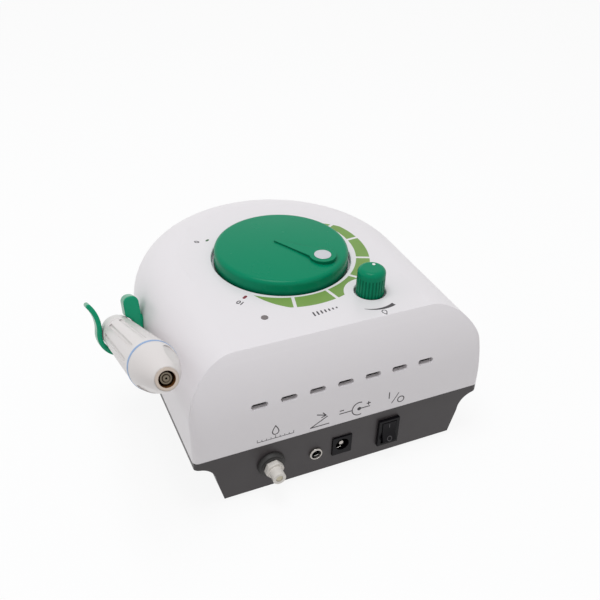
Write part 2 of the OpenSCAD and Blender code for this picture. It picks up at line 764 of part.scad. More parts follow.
module switch_frame() {
  x = switch_at[0];
  z = switch_at[1];
  lip = 1.5;
  in_w = switch_in;
  in_h = switch_h / 2 - 1.2;
  color([0.09, 0.09, 0.1]) difference() {
    union() {
      block([x - switch_w / 2, rear_y, z - switch_h / 2], [x + switch_w / 2, rear_y + lip, z + switch_h / 2]);
      block([x - switch_w / 2 + 0.65, rear_y - 15, z - switch_h / 2 + 0.65],
        [x + switch_w / 2 - 0.65, rear_y + 0.5, z + switch_h / 2 - 0.65]);
      for (k = [-4, 4]) block([x - 2.4, rear_y - 21, z + k - 0.4], [x + 2.4, rear_y - 14.5, z + k + 0.4]);
    }
    block([x - in_w, rear_y - 8, z - in_h], [x + in_w, rear_y + 3, z + in_h]);
    translate([x - in_w - 0.7, pivot_y, z]) rotate([0, 90, 0]) cylinder(h = 2 * in_w + 1.4, r = 0.85);
  }
}
// Half throw tips the upper end in, so the lower half stands out
module rocker() {
  in_w = switch_in - 0.25;
  face_h = switch_h / 2 - 2.2;
  color([0.07, 0.07, 0.08]) translate([switch_at[0], pivot_y, switch_at[1]]) rotate([rocker_throw / 2, 0, 0])
    difference() {
      translate([-in_w, 0, 0]) rotate([90, 0, 90]) linear_extrude(2 * in_w)
        polygon([[-2.4, -2], [2, -face_h], [5.2, -face_h], [4.4, 0], [5.2, face_h], [2, face_h], [-2.4, 2]]);
      translate([-in_w - 1, 0, 0]) rotate([0, 90, 0]) cylinder(h = 2 * in_w + 2, r = 0.82);
    }
}
module rocker_pin() {
  end = switch_in + 0.6;
  color([0.6, 0.6, 0.62]) translate([switch_at[0] - end, pivot_y, switch_at[1]]) rotate([0, 90, 0])
    cylinder(h = 2 * end, r = 0.8);
}

// Front outlet for the handpiece cord

module cord_outlet() {
  color([0.24, 0.24, 0.25]) translate([0, outlet_face_y, outlet_z]) rotate([90, 0, 0]) difference() {
    union() {
      rotate_extrude()
        polygon([[0, 0], [outlet_flange_r, 0], [outlet_flange_r, 1.4], [outlet_flange_r - 1, 2.6], [0, 2.6]]);
      translate([0, 0, -9]) cylinder(h = 10, r = outlet_r);
      translate([0, 0, -17]) cylinder(h = 9, r = barb_r);
    }
    translate([0, 0, -7]) cylinder(h = 10, r = cord_bore_r);
    translate([0, 0, -18]) cylinder(h = 12, r = 0.8);
  }
}
module outlet_nut() {
  color([0.24, 0.24, 0.25]) translate([0, -body_d / 2 + wall + 0.9, outlet_z]) rotate([-90, 0, 0])
    hex_nut(14, outlet_r + seat_gap, 4);
}

// Handpiece holder: a thick arm on the wall, a cradle, and a thin sprung arm that flares outwards

module clip_profile() {
  x0 = tail_at[0];
  low = -cradle_r - clip_t;
  round_r = 3.2;
  flare_at = [x0, 0] + (cradle_r + clip_t + flare_r) * [cos(flare_turn), sin(flare_turn)];
  join_h = cradle_r * sin(flare_turn);
  difference() {
    union() {
      translate([clip_wall_x, low]) square([clip_arm_x - clip_wall_x, clip_arm_top - round_r - low]);
      translate([clip_wall_x + round_r, clip_arm_top - round_r - 1])
        square([clip_arm_x - clip_wall_x - 2 * round_r, round_r + 1]);
      for (x = [clip_wall_x + round_r, clip_arm_x - round_r]) translate([x, clip_arm_top - round_r])
        circle(round_r);
      intersection() {
        translate([x0, 0]) circle(cradle_r + clip_t);
        translate([clip_wall_x, low - 1]) square([60, join_h + 1 - low + 1]);
      }
    }
    translate([x0, 0]) circle(cradle_r);
  }
  intersection() {
    translate(flare_at) difference() {
      circle(flare_r + clip_t);
      circle(flare_r);
    }
    translate([x0, join_h]) square([14, clip_arm_top - 1 - join_h]);
  }
  tip_h = clip_arm_top - 1 - flare_at[1];
  tip_r = clip_t / 2;
  translate(flare_at + [-sqrt((flare_r + tip_r) ^ 2 - tip_h ^ 2), tip_h]) circle(tip_r);
}
module handpiece_holder() {
  color([0, 0.5, 0.36]) difference() {
    union() {
      translate(on_axis(clip_near_s, 0) - [tail_at[0], 0, 0]) rotate([90 + tilt, 0, 0])
        linear_extrude(clip_depth) clip_profile();
      for (c = clip_screws) translate([c[1], clip_mid(c[0])[1], clip_mid(c[0])[2]]) rotate([0, 90, 0])
        cylinder(h = clip_wall_x + 0.8 - c[1], r = clip_boss_r);
    }
    for (c = clip_screws) translate([c[1] - 1, clip_mid(c[0])[1], clip_mid(c[0])[2]]) rotate([0, 90, 0])
      cylinder(h = clip_wall_x + 1.4 - c[1] + 1, r = clip_screw_r + seat_gap);
  }
}
module holder_screws() {
  color([0.6, 0.6, 0.62]) for (c = clip_screws) translate([c[1], clip_mid(c[0])[1], clip_mid(c[0])[2]])
    rotate([0, 90, 0]) {
      translate([0, 0, -2]) cylinder(h = 2, r = clip_boss_r + 1);
      translate([0, 0, -0.5]) cylinder(h = clip_wall_x + 1.2 - c[1], r = clip_screw_r);
    }
}

// Handpiece

module tail_collar() {
  edge = 2;
  color([0.9, 0.89, 0.88]) on_handpiece() difference() {
    rotate_extrude() {
      translate([0, edge]) square([tail_r, collar_len - edge]);
      square([tail_r - edge, edge + 1]);
      translate([tail_r - edge, edge]) circle(edge);
    }
    translate([0, 0, -1]) cylinder(h = 7, r = socket_r);
    translate([0, 0, 5.9]) cylinder(h = 8, r = 5.4);
  }
}
module tail_insert() {
  color([0.12, 0.12, 0.13]) on_handpiece() difference() {
    ring(1, 5.35, 6, 8.5);
    for (a = [0:90:270]) rotate(a) translate([3, 0, 5]) cylinder(h = 5, r = 0.72);
  }
}
module contact_pads() {
  color([0.85, 0.7, 0.35]) on_handpiece() for (a = [0:90:270]) rotate(a) translate([3, 0, 6])
    cylinder(h = 4, r = 0.7);
}
module handpiece_grip() {
  grip_r0 = tail_r + 0.2;
  grip_r1 = ring_r - 0.15;
  slope = atan((grip_r1 - grip_r0) / (ring_s - collar_len));
  color([0.9, 0.89, 0.88]) on_handpiece() difference() {
    rotate_extrude() polygon([[bore_r, collar_len], [grip_r0 - 0.3, collar_len],
      [grip_r0 - 0.3, collar_len + 0.8], [grip_r0, collar_len + 0.8], [grip_r0 + 0.05, collar_len + 3],
      [grip_r0 - 0.35, collar_len + 3.2], [grip_r0 - 0.35, collar_len + 3.9],
      [grip_r0 + 0.12, collar_len + 4.1], [grip_r1, ring_s], [bore_r, ring_s]]);
    for (i = [0:grip_flutes - 1]) rotate(360 * (i + 0.5) / grip_flutes)
      translate([grip_r0 + 0.42, 0, collar_len + 7]) rotate([0, slope, 0])
        cylinder(h = ring_s - collar_len - 13, r = 0.8, $fn = 24);
  }
}
module colour_ring() {
  color([0.5, 0.65, 0.86]) on_handpiece() translate([0, 0, ring_s]) rotate_extrude()
    polygon([[bore_r, 0], [ring_r - 0.1, 0], [ring_r, 0.3], [ring_r, ring_len - 0.3],
      [ring_r - 0.1, ring_len], [bore_r, ring_len]]);
}
// What is taken off the nose for one spanner flat: a tongue with a round end, its floor at x = 0
module nose_flat() {
  translate([0, 0, flat_half]) rotate([0, 90, 0]) cylinder(h = 4, r = flat_half);
  block([0, -flat_half, flat_half], [4, flat_half, 18]);
}
module nose_cone() {
  ogive_r = 73;
  a = [ring_r - 0.15, nose_s];
  b = [nose_rim_r + 0.25, hp_len - 0.6];
  c = arc_centre(b, a, ogive_r);
  color([0.91, 0.9, 0.87]) on_handpiece() difference() {
    rotate_extrude() difference() {
      union() {
        intersection() {
          translate([0, nose_s]) square([ring_r, b[1] - nose_s]);
          translate(c) circle(ogive_r, $fn = 360);
        }
        translate([0, b[1] - 1]) square([nose_rim_r, hp_len - b[1] + 1]);
      }
      square([nose_hole_r, hp_len + 1]);
      polygon([[0, nose_s - 1], [bore_r, nose_s - 1], [bore_r, nose_s + 8],
        [nose_hole_r + 0.6, nose_s + 13.5], [0, nose_s + 13.5]]);
    }
    for (side = [0, 180]) rotate(flat_angle + side) translate([flat_reach, 0, flat_s])
      rotate([0, -flat_slope, 0]) nose_flat();
  }
}
module horn() {
  stud_r = 1.5;
  stud_s = hp_len - 1.3;
  stud_len = 4.6;
  root_s = piezo_s + piezo_count * (piezo_t + electrode_t) + electrode_t;
  neck_r = 4.6;
  arm_r = 2.4;
  color([0.6, 0.6, 0.62]) on_handpiece() difference() {
    rotate_extrude() polygon([[0, root_s], [stack_r, root_s], [stack_r, root_s + 7], [neck_r, root_s + 11],
      [neck_r, nose_s + 3], [arm_r, nose_s + 12], [arm_r, stud_s - stud_len], [stud_r, stud_s - stud_len],
      [stud_r, stud_s - 0.3], [stud_r - 0.3, stud_s], [0, stud_s]]);
    translate([0, 0, nose_s]) cylinder(h = 40, r = 0.4);
    translate([0, 0, root_s - 1]) cylinder(h = 8, r = bolt_r + seat_gap);
  }
}
module horn_seal() {
  color([0.75, 0.25, 0.15]) on_handpiece() translate([0, 0, nose_s + 1]) rotate_extrude() translate([5.45, 0])
    circle(0.82);
}
module piezo_rings() {
  color([0.85, 0.8, 0.6]) on_handpiece() for (i = [0:piezo_count - 1])
    translate([0, 0, piezo_s + i * (piezo_t + electrode_t) + electrode_t])
      ring(bolt_r + 0.1, stack_r, 0, piezo_t);
}
module electrodes() {
  color([0.85, 0.6, 0.3]) on_handpiece() for (i = [0:piezo_count])
    translate([0, 0, piezo_s + i * (piezo_t + electrode_t)])
      ring(bolt_r + 0.1, stack_r + 0.2, 0, electrode_t);
}
module back_mass() {
  color([0.55, 0.55, 0.57]) on_handpiece() ring(bolt_r + 0.1, stack_r, piezo_s - mass_len, piezo_s);
}
module stack_bolt() {
  head_s = piezo_s - mass_len;
  stack_len = mass_len + piezo_count * (piezo_t + electrode_t) + electrode_t;
  color([0.62, 0.62, 0.64]) on_handpiece() {
    translate([0, 0, head_s - 4]) cylinder(h = 4, r = 4.2);
    translate([0, 0, head_s - 0.1]) cylinder(h = stack_len + 6.1, r = bolt_r);
  }
}

upper_shell();
base_pan();
rubber_feet();
case_screws();
power_dial();
dial_inlay();
dial_shaft();
power_potentiometer();
potentiometer_nut();
water_knob();
knob_marker();
valve_stem();
water_valve();
valve_nut();
indicator_lens();
indicator_lamp();
main_board();
board_screws();
heat_sink();
power_transistors();
transformer_core();
transformer_winding();
capacitors();
board_connectors();
solenoid_body();
solenoid_coil();
inlet_hose();
valve_hose();
outlet_hose();
inlet_grommet();
inlet_fitting();
inlet_nut();
footswitch_jack();
jack_ring();
dc_inlet();
dc_pin();
switch_frame();
rocker();
rocker_pin();
cord_outlet();
outlet_nut();
handpiece_holder();
holder_screws();
handpiece_grip();
tail_collar();
tail_insert();
contact_pads();
colour_ring();
nose_cone();
horn();
horn_seal();
piezo_rings();
electrodes();
back_mass();
stack_bolt();
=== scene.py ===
"""Looks of a table-top ultrasonic scaler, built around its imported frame.

Metres, with +Z up and the rear panel towards +Y.
"""
import json
import math

import bpy
from mathutils import Matrix, Vector


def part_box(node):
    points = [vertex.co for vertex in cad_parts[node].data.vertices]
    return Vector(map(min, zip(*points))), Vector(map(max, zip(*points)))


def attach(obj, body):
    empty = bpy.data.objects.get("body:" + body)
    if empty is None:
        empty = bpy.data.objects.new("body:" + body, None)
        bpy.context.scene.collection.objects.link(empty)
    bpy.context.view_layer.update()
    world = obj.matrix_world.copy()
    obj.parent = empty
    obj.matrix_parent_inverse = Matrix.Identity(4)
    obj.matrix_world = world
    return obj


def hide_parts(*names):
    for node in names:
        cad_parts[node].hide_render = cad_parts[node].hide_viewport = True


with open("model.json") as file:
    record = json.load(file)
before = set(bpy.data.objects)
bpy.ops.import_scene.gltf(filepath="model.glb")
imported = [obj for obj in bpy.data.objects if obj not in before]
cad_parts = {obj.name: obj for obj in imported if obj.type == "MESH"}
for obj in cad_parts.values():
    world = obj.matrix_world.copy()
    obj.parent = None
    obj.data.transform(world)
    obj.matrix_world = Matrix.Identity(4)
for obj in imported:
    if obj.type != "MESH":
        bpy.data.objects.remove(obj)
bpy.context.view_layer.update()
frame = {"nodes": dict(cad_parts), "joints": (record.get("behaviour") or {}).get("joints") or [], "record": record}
nodes = frame["nodes"]
mm = 0.001

# Camera
# It stands behind the unit, above the corner with the handpiece, and leans over a little.
camera_at = Vector((132.0, 303.8, 272.9)) * mm
camera_azimuth = math.radians(154.73)
camera_elevation = math.radians(34.63)
camera_roll = math.radians(2.377)
camera = bpy.data.objects.new("camera", bpy.data.cameras.new("camera"))
bpy.context.scene.collection.objects.link(camera)
turn = Matrix.Rotation(camera_azimuth, 4, "Z") @ Matrix.Rotation(math.pi / 2 - camera_elevation, 4, "X")
camera.matrix_world = Matrix.Translation(camera_at) @ turn @ Matrix.Rotation(camera_roll, 4, "Z")
camera.data.sensor_width = 36
camera.data.lens = 48.11
bpy.context.scene.camera = camera


# Base pan
# A grey moulding with a fine spark-eroded grain, a little darker where cloths have polished it.
# It carries every inner piece, and the cover is screwed down on it from below.
class Wire:
    """An output of a node, with the arithmetic that shader maths needs."""

    def __init__(self, finish, socket):
        self.finish = finish
        self.socket = socket

    def maths(self, operation, first, second):
        return self.finish.node("ShaderNodeMath", {"operation": operation}, {0: first, 1: second})

    def __add__(self, other):
        return self.maths("ADD", self, other)

    def __sub__(self, other):
        return self.maths("SUBTRACT", self, other)

    def __rsub__(self, other):
        return self.maths("SUBTRACT", other, self)

    def __mul__(self, other):
        return self.maths("MULTIPLY", self, other)

    def __lt__(self, other):
        return self.maths("LESS_THAN", self, other)

    def __gt__(self, other):
        return self.maths("GREATER_THAN", self, other)

    __radd__ = __add__
    __rmul__ = __mul__


class Finish:
    """A material on one shader, with the nodes that feed it."""

    def __init__(self, name, **sockets):
        self.material = bpy.data.materials.new(name)
        self.material.use_nodes = True
        self.tree = self.material.node_tree
        self.shader = self.tree.nodes["Principled BSDF"]
        self.set(**sockets)

    def plug(self, socket, value):
        if isinstance(value, Wire):
            self.tree.links.new(value.socket, socket)
        elif socket.type == "RGBA" and len(value) == 3:
            socket.default_value = (*value, 1)
        else:
            socket.default_value = value

    def node(self, kind, settings, sockets, output=0):
        made = self.tree.nodes.new(kind)
        for name, value in settings.items():
            setattr(made, name, value)
        for name, value in sockets.items():
            self.plug(made.inputs[name], value)
        return Wire(self, made.outputs[output])

    def set(self, **sockets):
        for name, value in sockets.items():
            self.plug(self.shader.inputs[name.replace("_", " ")], value)

    def place(self, stretch=(1, 1, 1)):
        here = self.node("ShaderNodeTexCoord", {}, {}, "Object")
        return self.node("ShaderNodeMapping", {}, {"Vector": here, "Scale": stretch})

    def noise(self, scale, detail=3, stretch=(1, 1, 1)):
        sockets = {"Vector": self.place(stretch), "Scale": scale, "Detail": detail}
        return self.node("ShaderNodeTexNoise", {}, sockets)

    def mix(self, first, second, factor):
        return self.node("ShaderNodeMix", {"data_type": "RGBA"}, {0: factor, 6: first, 7: second}, 2)

    def relief(self, height, depth, edge=0.0):
        """Bump of a height map, on faces whose edges are rounded to a radius."""
        sockets = {"Height": height, "Distance": depth, "Strength": 1}
        if edge:
            sockets["Normal"] = self.node("ShaderNodeBevel", {"samples": 4}, {"Radius": edge})
        self.set(Normal=self.node("ShaderNodeBump", {}, sockets))


def dress(finish, *names):
    """Gives solids of the frame a finish."""
    for name in names:
        nodes[name].data.materials.clear()
        nodes[name].data.materials.append(finish.material)


def darker(colour, share):
    return tuple(c * (1 - share) for c in colour)


mottle_scale = 35
handling_scale = 90
handling_share = 0.35
# How far painted shade darkens the colour in crevices.
crevice_shade_share = 0.8


def moulded(name, colour, roughness, grain, grain_depth, mottle=0.06, edge=0.0, crevice_shade=0.0, **sockets):
    """Moulded plastic or rubber: a fine grain, a faint mottle, a shine that varies with handling, and painted
    shade that darkens crevices as wide as the value given."""
    made = Finish(name, **sockets)
    body = made.mix(colour, darker(colour, mottle), made.noise(mottle_scale))
    # Painted shade: an ambient occlusion mask darkens the colour in crevices.
    if crevice_shade:
        open_share = made.node("ShaderNodeAmbientOcclusion", {"samples": 8}, {"Distance": crevice_shade}, "AO")
        body = made.mix(darker(colour, crevice_shade_share), body, open_share)
    made.set(Base_Color=body)
    made.set(Roughness=roughness + (made.noise(handling_scale) - 0.5) * (handling_share * roughness))
    made.relief(made.noise(grain, detail=2), grain_depth, edge)
    return made


base_grey = (0.038, 0.031, 0.033)
base_moulding = moulded("base_moulding", base_grey, roughness=0.42, grain=2600, grain_depth=0.012 * mm,
                        mottle=0.12, edge=0.4 * mm)
dress(base_moulding, "base_pan")

# Rubber feet
# Four round pads of black rubber, pushed into shallow seats under the base.
foot_rubber = moulded("foot_rubber", (0.018, 0.018, 0.019), roughness=0.72, grain=1800,
                      grain_depth=0.03 * mm, mottle=0.3, edge=0.3 * mm)
dress(foot_rubber, "rubber_feet")


# Screws
# Zinc-plated steel: four hold the cover from below, four the board, two the holder.
tarnish = 0.12
tarnish_scale = 150
polish_scale = 400
broken_edge = 0.1 * mm


def metal(name, colour, roughness, lines, line_depth, stretch=(1, 1, 1)):
    """Bare or plated metal, with the fine lines that its making leaves and a faint tarnish."""
    made = Finish(name, Metallic=1)
    made.set(Base_Color=made.mix(colour, darker(colour, tarnish), made.noise(tarnish_scale)))
    made.set(Roughness=roughness + (made.noise(polish_scale, stretch=stretch) - 0.5) * roughness)
    made.relief(made.noise(lines, detail=2, stretch=stretch), line_depth, broken_edge)
    return made


zinc_steel = metal("zinc_steel", (0.55, 0.55, 0.57), roughness=0.3, lines=3000, line_depth=0.004 * mm)
dress(zinc_steel, "case_screws", "board_screws", "holder_screws")

# Circuit board
# Glass-fibre board under green solder resist, whose copper tracks show as paler lines.
solder_resist = Finish("solder_resist", Coat_Weight=0.4)
tracks = solder_resist.node(
    "ShaderNodeTexBrick", {"offset": 0.5},
    {"Vector": solder_resist.place(), "Scale": 260.0, "Mortar Size": 0.035, "Color1": (0, 0, 0),
     "Color2": (0, 0, 0), "Mortar": (1, 1, 1)}, "Color")
solder_resist.set(Base_Color=solder_resist.mix((0.006, 0.075, 0.03), (0.03, 0.16, 0.06), tracks))
solder_resist.set(Roughness=0.3 + solder_resist.noise(200) * 0.15)
solder_resist.relief(tracks, 0.03 * mm)
dress(solder_resist, "main_board")

# Board parts
# An extruded aluminium heat sink, black cased transistors, a ferrite transformer wound with enamelled wire,
# sleeved capacitors and natural nylon connectors, all soldered to the board.
extruded_aluminium = metal("extruded_aluminium", (0.66, 0.67, 0.68), roughness=0.38, lines=900,
                           line_depth=0.02 * mm, stretch=(1, 0.05, 1))
dress(extruded_aluminium, "heat_sink")
black_case = moulded("black_case", (0.014, 0.014, 0.015), roughness=0.45, grain=1500,
                     grain_depth=0.008 * mm, mottle=0.2, edge=0.2 * mm)
dress(black_case, "power_transistors", "tail_insert", "solenoid_coil", "outlet_nut", "footswitch_jack")
ferrite = moulded("ferrite", (0.045, 0.045, 0.048), roughness=0.65, grain=700, grain_depth=0.03 * mm,
                  mottle=0.3, edge=0.2 * mm)
dress(ferrite, "transformer_core")
enamelled_wire = Finish("enamelled_wire", Metallic=0.9)
turns = enamelled_wire.node("ShaderNodeTexWave", {"bands_direction": "Z"},
                            {"Vector": enamelled_wire.place(), "Scale": 500.0, "Distortion": 0.6})
enamelled_wire.set(Base_Color=enamelled_wire.mix((0.3, 0.09, 0.03), (0.72, 0.3, 0.12), turns))
enamelled_wire.set(Roughness=0.42 - turns * 0.15)
enamelled_wire.relief(turns, 0.2 * mm)
dress(enamelled_wire, "transformer_winding")
blue_sleeve = moulded("blue_sleeve", (0.02, 0.035, 0.16), roughness=0.28, grain=900,
                      grain_depth=0.006 * mm, edge=0.3 * mm)
dress(blue_sleeve, "capacitors")
natural_nylon = moulded("natural_nylon", (0.70, 0.67, 0.59), roughness=0.4, grain=700,
                        grain_depth=0.012 * mm, edge=0.25 * mm, Subsurface_Weight=0.15,
                        Subsurface_Scale=0.6 * mm)
dress(natural_nylon, "board_connectors", "inlet_nut")

# Water valve and hoses
# Turned brass valve bodies, joined by clear tubing that has gone a little milky.
turned_brass = metal("turned_brass", (0.68, 0.48, 0.20), roughness=0.28, lines=2500,
                     line_depth=0.006 * mm, stretch=(1, 1, 0.1))
dress(turned_brass, "solenoid_body", "water_valve", "contact_pads", "electrodes")
clear_tube = Finish("clear_tube", Transmission_Weight=0.75, IOR=1.45)
clear_tube.set(Base_Color=clear_tube.mix((0.82, 0.86, 0.88), (0.7, 0.74, 0.76), clear_tube.noise(120)))
clear_tube.set(Roughness=0.12 + clear_tube.noise(60) * 0.2)
dress(clear_tube, "inlet_hose", "valve_hose", "outlet_hose")

# Shafts and nuts
# Ground steel shafts in plated bushings, held to the cover by nickel-plated hexagon nuts.
ground_steel = metal("ground_steel", (0.56, 0.56, 0.57), roughness=0.22, lines=2500,
                     line_depth=0.004 * mm, stretch=(1, 1, 0.08))
dress(ground_steel, "dial_shaft", "valve_stem", "power_potentiometer", "rocker_pin")
dress(ground_steel, "stack_bolt", "back_mass")
nickel_plate = metal("nickel_plate", (0.72, 0.70, 0.66), roughness=0.16, lines=3000,
                     line_depth=0.003 * mm)
dress(nickel_plate, "potentiometer_nut", "valve_nut")


# Water inlet
# A natural nylon hexagon fitting with a short hose nipple, screwed through the base against a dark stepped
# washer. Its edges are broken by the mould.
def middle(node):
    low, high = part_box(node)
    return (low + high) / 2


def activate(piece):
    """Makes a piece the only one that is selected."""
    bpy.ops.object.select_all(action="DESELECT")
    bpy.context.view_layer.objects.active = piece
    piece.select_set(True)


def merged(node, name):
    """A copy of a solid of the frame, with its loose triangles joined."""
    piece = bpy.data.objects.new(name, nodes[node].data.copy())
    bpy.context.scene.collection.objects.link(piece)
    activate(piece)
    bpy.ops.mesh.customdata_custom_splitnormals_clear()
    bpy.ops.object.mode_set(mode="EDIT")
    bpy.ops.mesh.select_all(action="SELECT")
    bpy.ops.mesh.remove_doubles(threshold=0.001 * mm)
    bpy.ops.mesh.dissolve_limited(angle_limit=math.radians(0.3))
    bpy.ops.object.mode_set(mode="OBJECT")
    return piece


def eased(piece, width, sharp=30):
    """Rounds the edges of a piece that are sharper than an angle in degrees."""
    rounding = piece.modifiers.new("rounding", "BEVEL")
    rounding.width = width
    rounding.segments = 3
    rounding.limit_method = "ANGLE"
    rounding.angle_limit = math.radians(sharp)
    rounding.harden_normals = True
    activate(piece)
    bpy.ops.object.shade_smooth_by_angle(angle=math.radians(sharp))
    bpy.ops.object.modifier_apply(modifier=rounding.name)
    return piece


def carried(piece, name, finish, body="console"):
    """Names a piece, and gives it its finish and the body that it moves with."""
    piece.name = name
    piece.data.materials.clear()
    piece.data.materials.append(finish.material)
    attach(piece, body)
    return piece


def settled(piece, name, finish, node):
    """A finished piece in the place of a solid: on its body, and shown instead of it."""
    bodies = frame["record"]["behaviour"]["bodies"]
    carried(piece, name, finish, next(body for body in bodies if node in bodies[body]))
    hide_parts(node)
    return piece


def softened(node, name, finish, width):
    """A solid of the frame with its edges rounded, that stands in for it."""
    return settled(eased(merged(node, name), width, sharp=35), name, finish, node)


def carved(piece, tool, operation="DIFFERENCE"):
    """Cuts a piece with a tool, and uses the tool up."""
    cut = piece.modifiers.new("cut", "BOOLEAN")
    cut.operation = operation
    cut.object = tool
    activate(piece)
    bpy.ops.object.modifier_apply(modifier=cut.name)
    bpy.data.objects.remove(tool)
    return piece


def turned(front, along, radius, length, sides=64):
    """A round bar along an axis, with its front at a point."""
    bpy.ops.object.select_all(action="DESELECT")
    bpy.ops.mesh.primitive_cylinder_add(vertices=sides, radius=radius, depth=length)
    bar = bpy.context.object
    turn = along.to_track_quat("Z", "Y").to_matrix().to_4x4()
    bar.matrix_world = Matrix.Translation(front - along * length / 2) @ turn
    bpy.ops.object.transform_apply(location=True, rotation=True)
    return bar


inlet_washer = moulded("inlet_washer", (0.030, 0.028, 0.027), roughness=0.55, grain=1500,
                       grain_depth=0.01 * mm, mottle=0.2)
softened("inlet_grommet", "inlet_washer", inlet_washer, 0.3 * mm)
spigot_nylon = moulded("spigot_nylon", (0.74, 0.70, 0.65), roughness=0.36, grain=700,
                       grain_depth=0.01 * mm)
softened("inlet_fitting", "inlet_spigot", spigot_nylon, 0.2 * mm)
outwards = Vector((0, 1, 0))
inlet_x, _, inlet_z = middle("inlet_grommet")
rear_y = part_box("inlet_grommet")[0].y
lip_outer = 5.2 * mm
lip_inner = 3.9 * mm
lip_stand = 2.7 * mm
lip_at = Vector((inlet_x, rear_y + lip_stand, inlet_z))
lip_hole = turned(lip_at + outwards * mm, outwards, lip_inner, length=3 * mm)
lip = carved(turned(lip_at, outwards, lip_outer, length=0.6 * mm), lip_hole)
carried(eased(lip, 0.15 * mm), "washer_lip", inlet_washer)
strainer_cream = moulded("strainer_cream", (0.72, 0.66, 0.50), roughness=0.5, grain=2500,
                         grain_depth=0.02 * mm, mottle=0.15)
strainer_radius = 1.61 * mm
strainer_setback = 0.4 * mm
strainer_at = Vector((inlet_x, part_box("inlet_fitting")[1].y - strainer_setback, inlet_z))
strainer = turned(strainer_at, outwards, strainer_radius, length=1.5 * mm)
carried(eased(strainer, 0.3 * mm), "inlet_strainer", strainer_cream)


# Foot switch jack
# A black phone jack behind the panel, held by a plated screw ring.
# A spring leaf of nickel silver shows in its bore.
def pick(piece, chosen):
    """Opens a piece for editing with those points selected for which a test holds."""
    activate(piece)
    bpy.ops.object.mode_set(mode="EDIT")
    bpy.ops.mesh.select_mode(type="VERT")
    bpy.ops.mesh.select_all(action="DESELECT")
    bpy.ops.object.mode_set(mode="OBJECT")
    for point in piece.data.vertices:
        point.select = chosen(point.co)
    bpy.ops.object.mode_set(mode="EDIT")


leaf_thickness = 0.25 * mm
leaf_bend = 0.6


def contact(name, high_end, run, width, dip):
    """A spring leaf across a bore: a strip of sheet metal, bent down at its root."""
    bpy.ops.object.select_all(action="DESELECT")
    bpy.ops.mesh.primitive_plane_add(size=1)
    strip = bpy.context.object
    strip.scale = (run, width, 1)
    strip.location = high_end + Vector((run, -width, 0)) / 2
    bpy.ops.object.transform_apply(location=True, scale=True)
    bpy.ops.object.mode_set(mode="EDIT")
    bpy.ops.mesh.subdivide(number_cuts=5)
    bpy.ops.object.mode_set(mode="OBJECT")
    pick(strip, lambda at: at.x > high_end.x + leaf_bend * run)
    bpy.ops.transform.translate(value=(0, 0, -dip), use_proportional_edit=True,
                                proportional_size=(1 - leaf_bend) * run)
    bpy.ops.object.mode_set(mode="OBJECT")
    sheet = strip.modifiers.new("sheet", "SOLIDIFY")
    sheet.thickness = leaf_thickness
    bpy.ops.object.modifier_apply(modifier=sheet.name)
    bpy.ops.object.shade_smooth_by_angle(angle=math.radians(35))
    carried(strip, name, spring_leaf)


plated_ring = metal("plated_ring", (0.50, 0.47, 0.44), roughness=0.24, lines=3000, line_depth=0.003 * mm)
softened("jack_ring", "jack_collar", plated_ring, 0.12 * mm)
spring_leaf = metal("spring_leaf", (0.80, 0.78, 0.74), roughness=0.25, lines=2000, line_depth=0.003 * mm)
jack_mouth = middle("jack_ring").xz
jack_leaf_at = Vector((jack_mouth.x - 1.3 * mm, rear_y + 0.6 * mm, jack_mouth.y - 0.7 * mm))
contact("jack_leaf", jack_leaf_at, run=2 * mm, width=3 * mm, dip=0.3 * mm)

# Power inlet
# A square black barrel socket, with its nickel pin in a round hole and a spring leaf beside the pin.
glossy_black = moulded("glossy_black", (0.006, 0.005, 0.007), roughness=0.26, grain=900,
                       grain_depth=0.006 * mm, mottle=0.2, Specular_IOR_Level=0.12)
softened("dc_inlet", "power_socket", glossy_black, 0.25 * mm)
dress(plated_ring, "dc_pin")
pin_at = middle("dc_pin").xz
socket_leaf_at = Vector((pin_at.x + 0.4 * mm, rear_y + 0.2 * mm, pin_at.y - 1.4 * mm))
contact("socket_leaf", socket_leaf_at, run=2 * mm, width=3 * mm, dip=0.35 * mm)

# Mains switch
# A snap-in rocker switch: a black bezel with a rocker on a steel pin, both polished.
softened("switch_frame", "switch_bezel", glossy_black, 0.3 * mm)
rocker = softened("rocker", "switch_rocker", glossy_black, 0.35 * mm)

# Cord outlet
# A grey bush in the front of the cover, bored for the handpiece's cord.
softened("cord_outlet", "cord_bush", base_moulding, 0.4 * mm)

# Upper cover
# A glossy white moulding with the faint waviness of a polished mould, kept clean as dental equipment is.
# It sits on the base pan, and carries the controls and the holder.
cover_white = (0.775, 0.74, 0.755)
cover_look = {"roughness": 0.32, "grain": 420, "grain_depth": 0.003 * mm, "mottle": 0.015}
cover_moulding = moulded("cover_moulding", cover_white, edge=0.5 * mm, **cover_look)
dress(cover_moulding, "upper_shell")


# Rear crease
# The cover's back meets its flat top in a crisp crease, cut sharp in the mould. This strip of the same
# plastic lies over the wider rounding of the solid, and ends on the large fillets of the sides.
def trimmed(piece, at, beyond):
    """Takes away what lies beyond a plane through a point."""
    activate(piece)
    bpy.ops.object.mode_set(mode="EDIT")
    bpy.ops.mesh.select_all(action="SELECT")
    bpy.ops.mesh.bisect(plane_co=at, plane_no=beyond, use_fill=True, clear_outer=True)
    bpy.ops.object.mode_set(mode="OBJECT")
    return piece


def pick_edges(piece, chosen):
    """Opens a piece for editing with those edges selected whose two faces' normals pass a test."""
    activate(piece)
    bpy.ops.object.mode_set(mode="EDIT")
    bpy.ops.mesh.select_mode(type="EDGE")
    bpy.ops.mesh.select_all(action="DESELECT")
    bpy.ops.object.mode_set(mode="OBJECT")
    normals = {}
    for face in piece.data.polygons:
        for key in face.edge_keys:
            normals.setdefault(key, []).append(face.normal.copy())
    for edge in piece.data.edges:
        edge.select = chosen(*normals[edge.key])
    bpy.ops.object.mode_set(mode="EDIT")


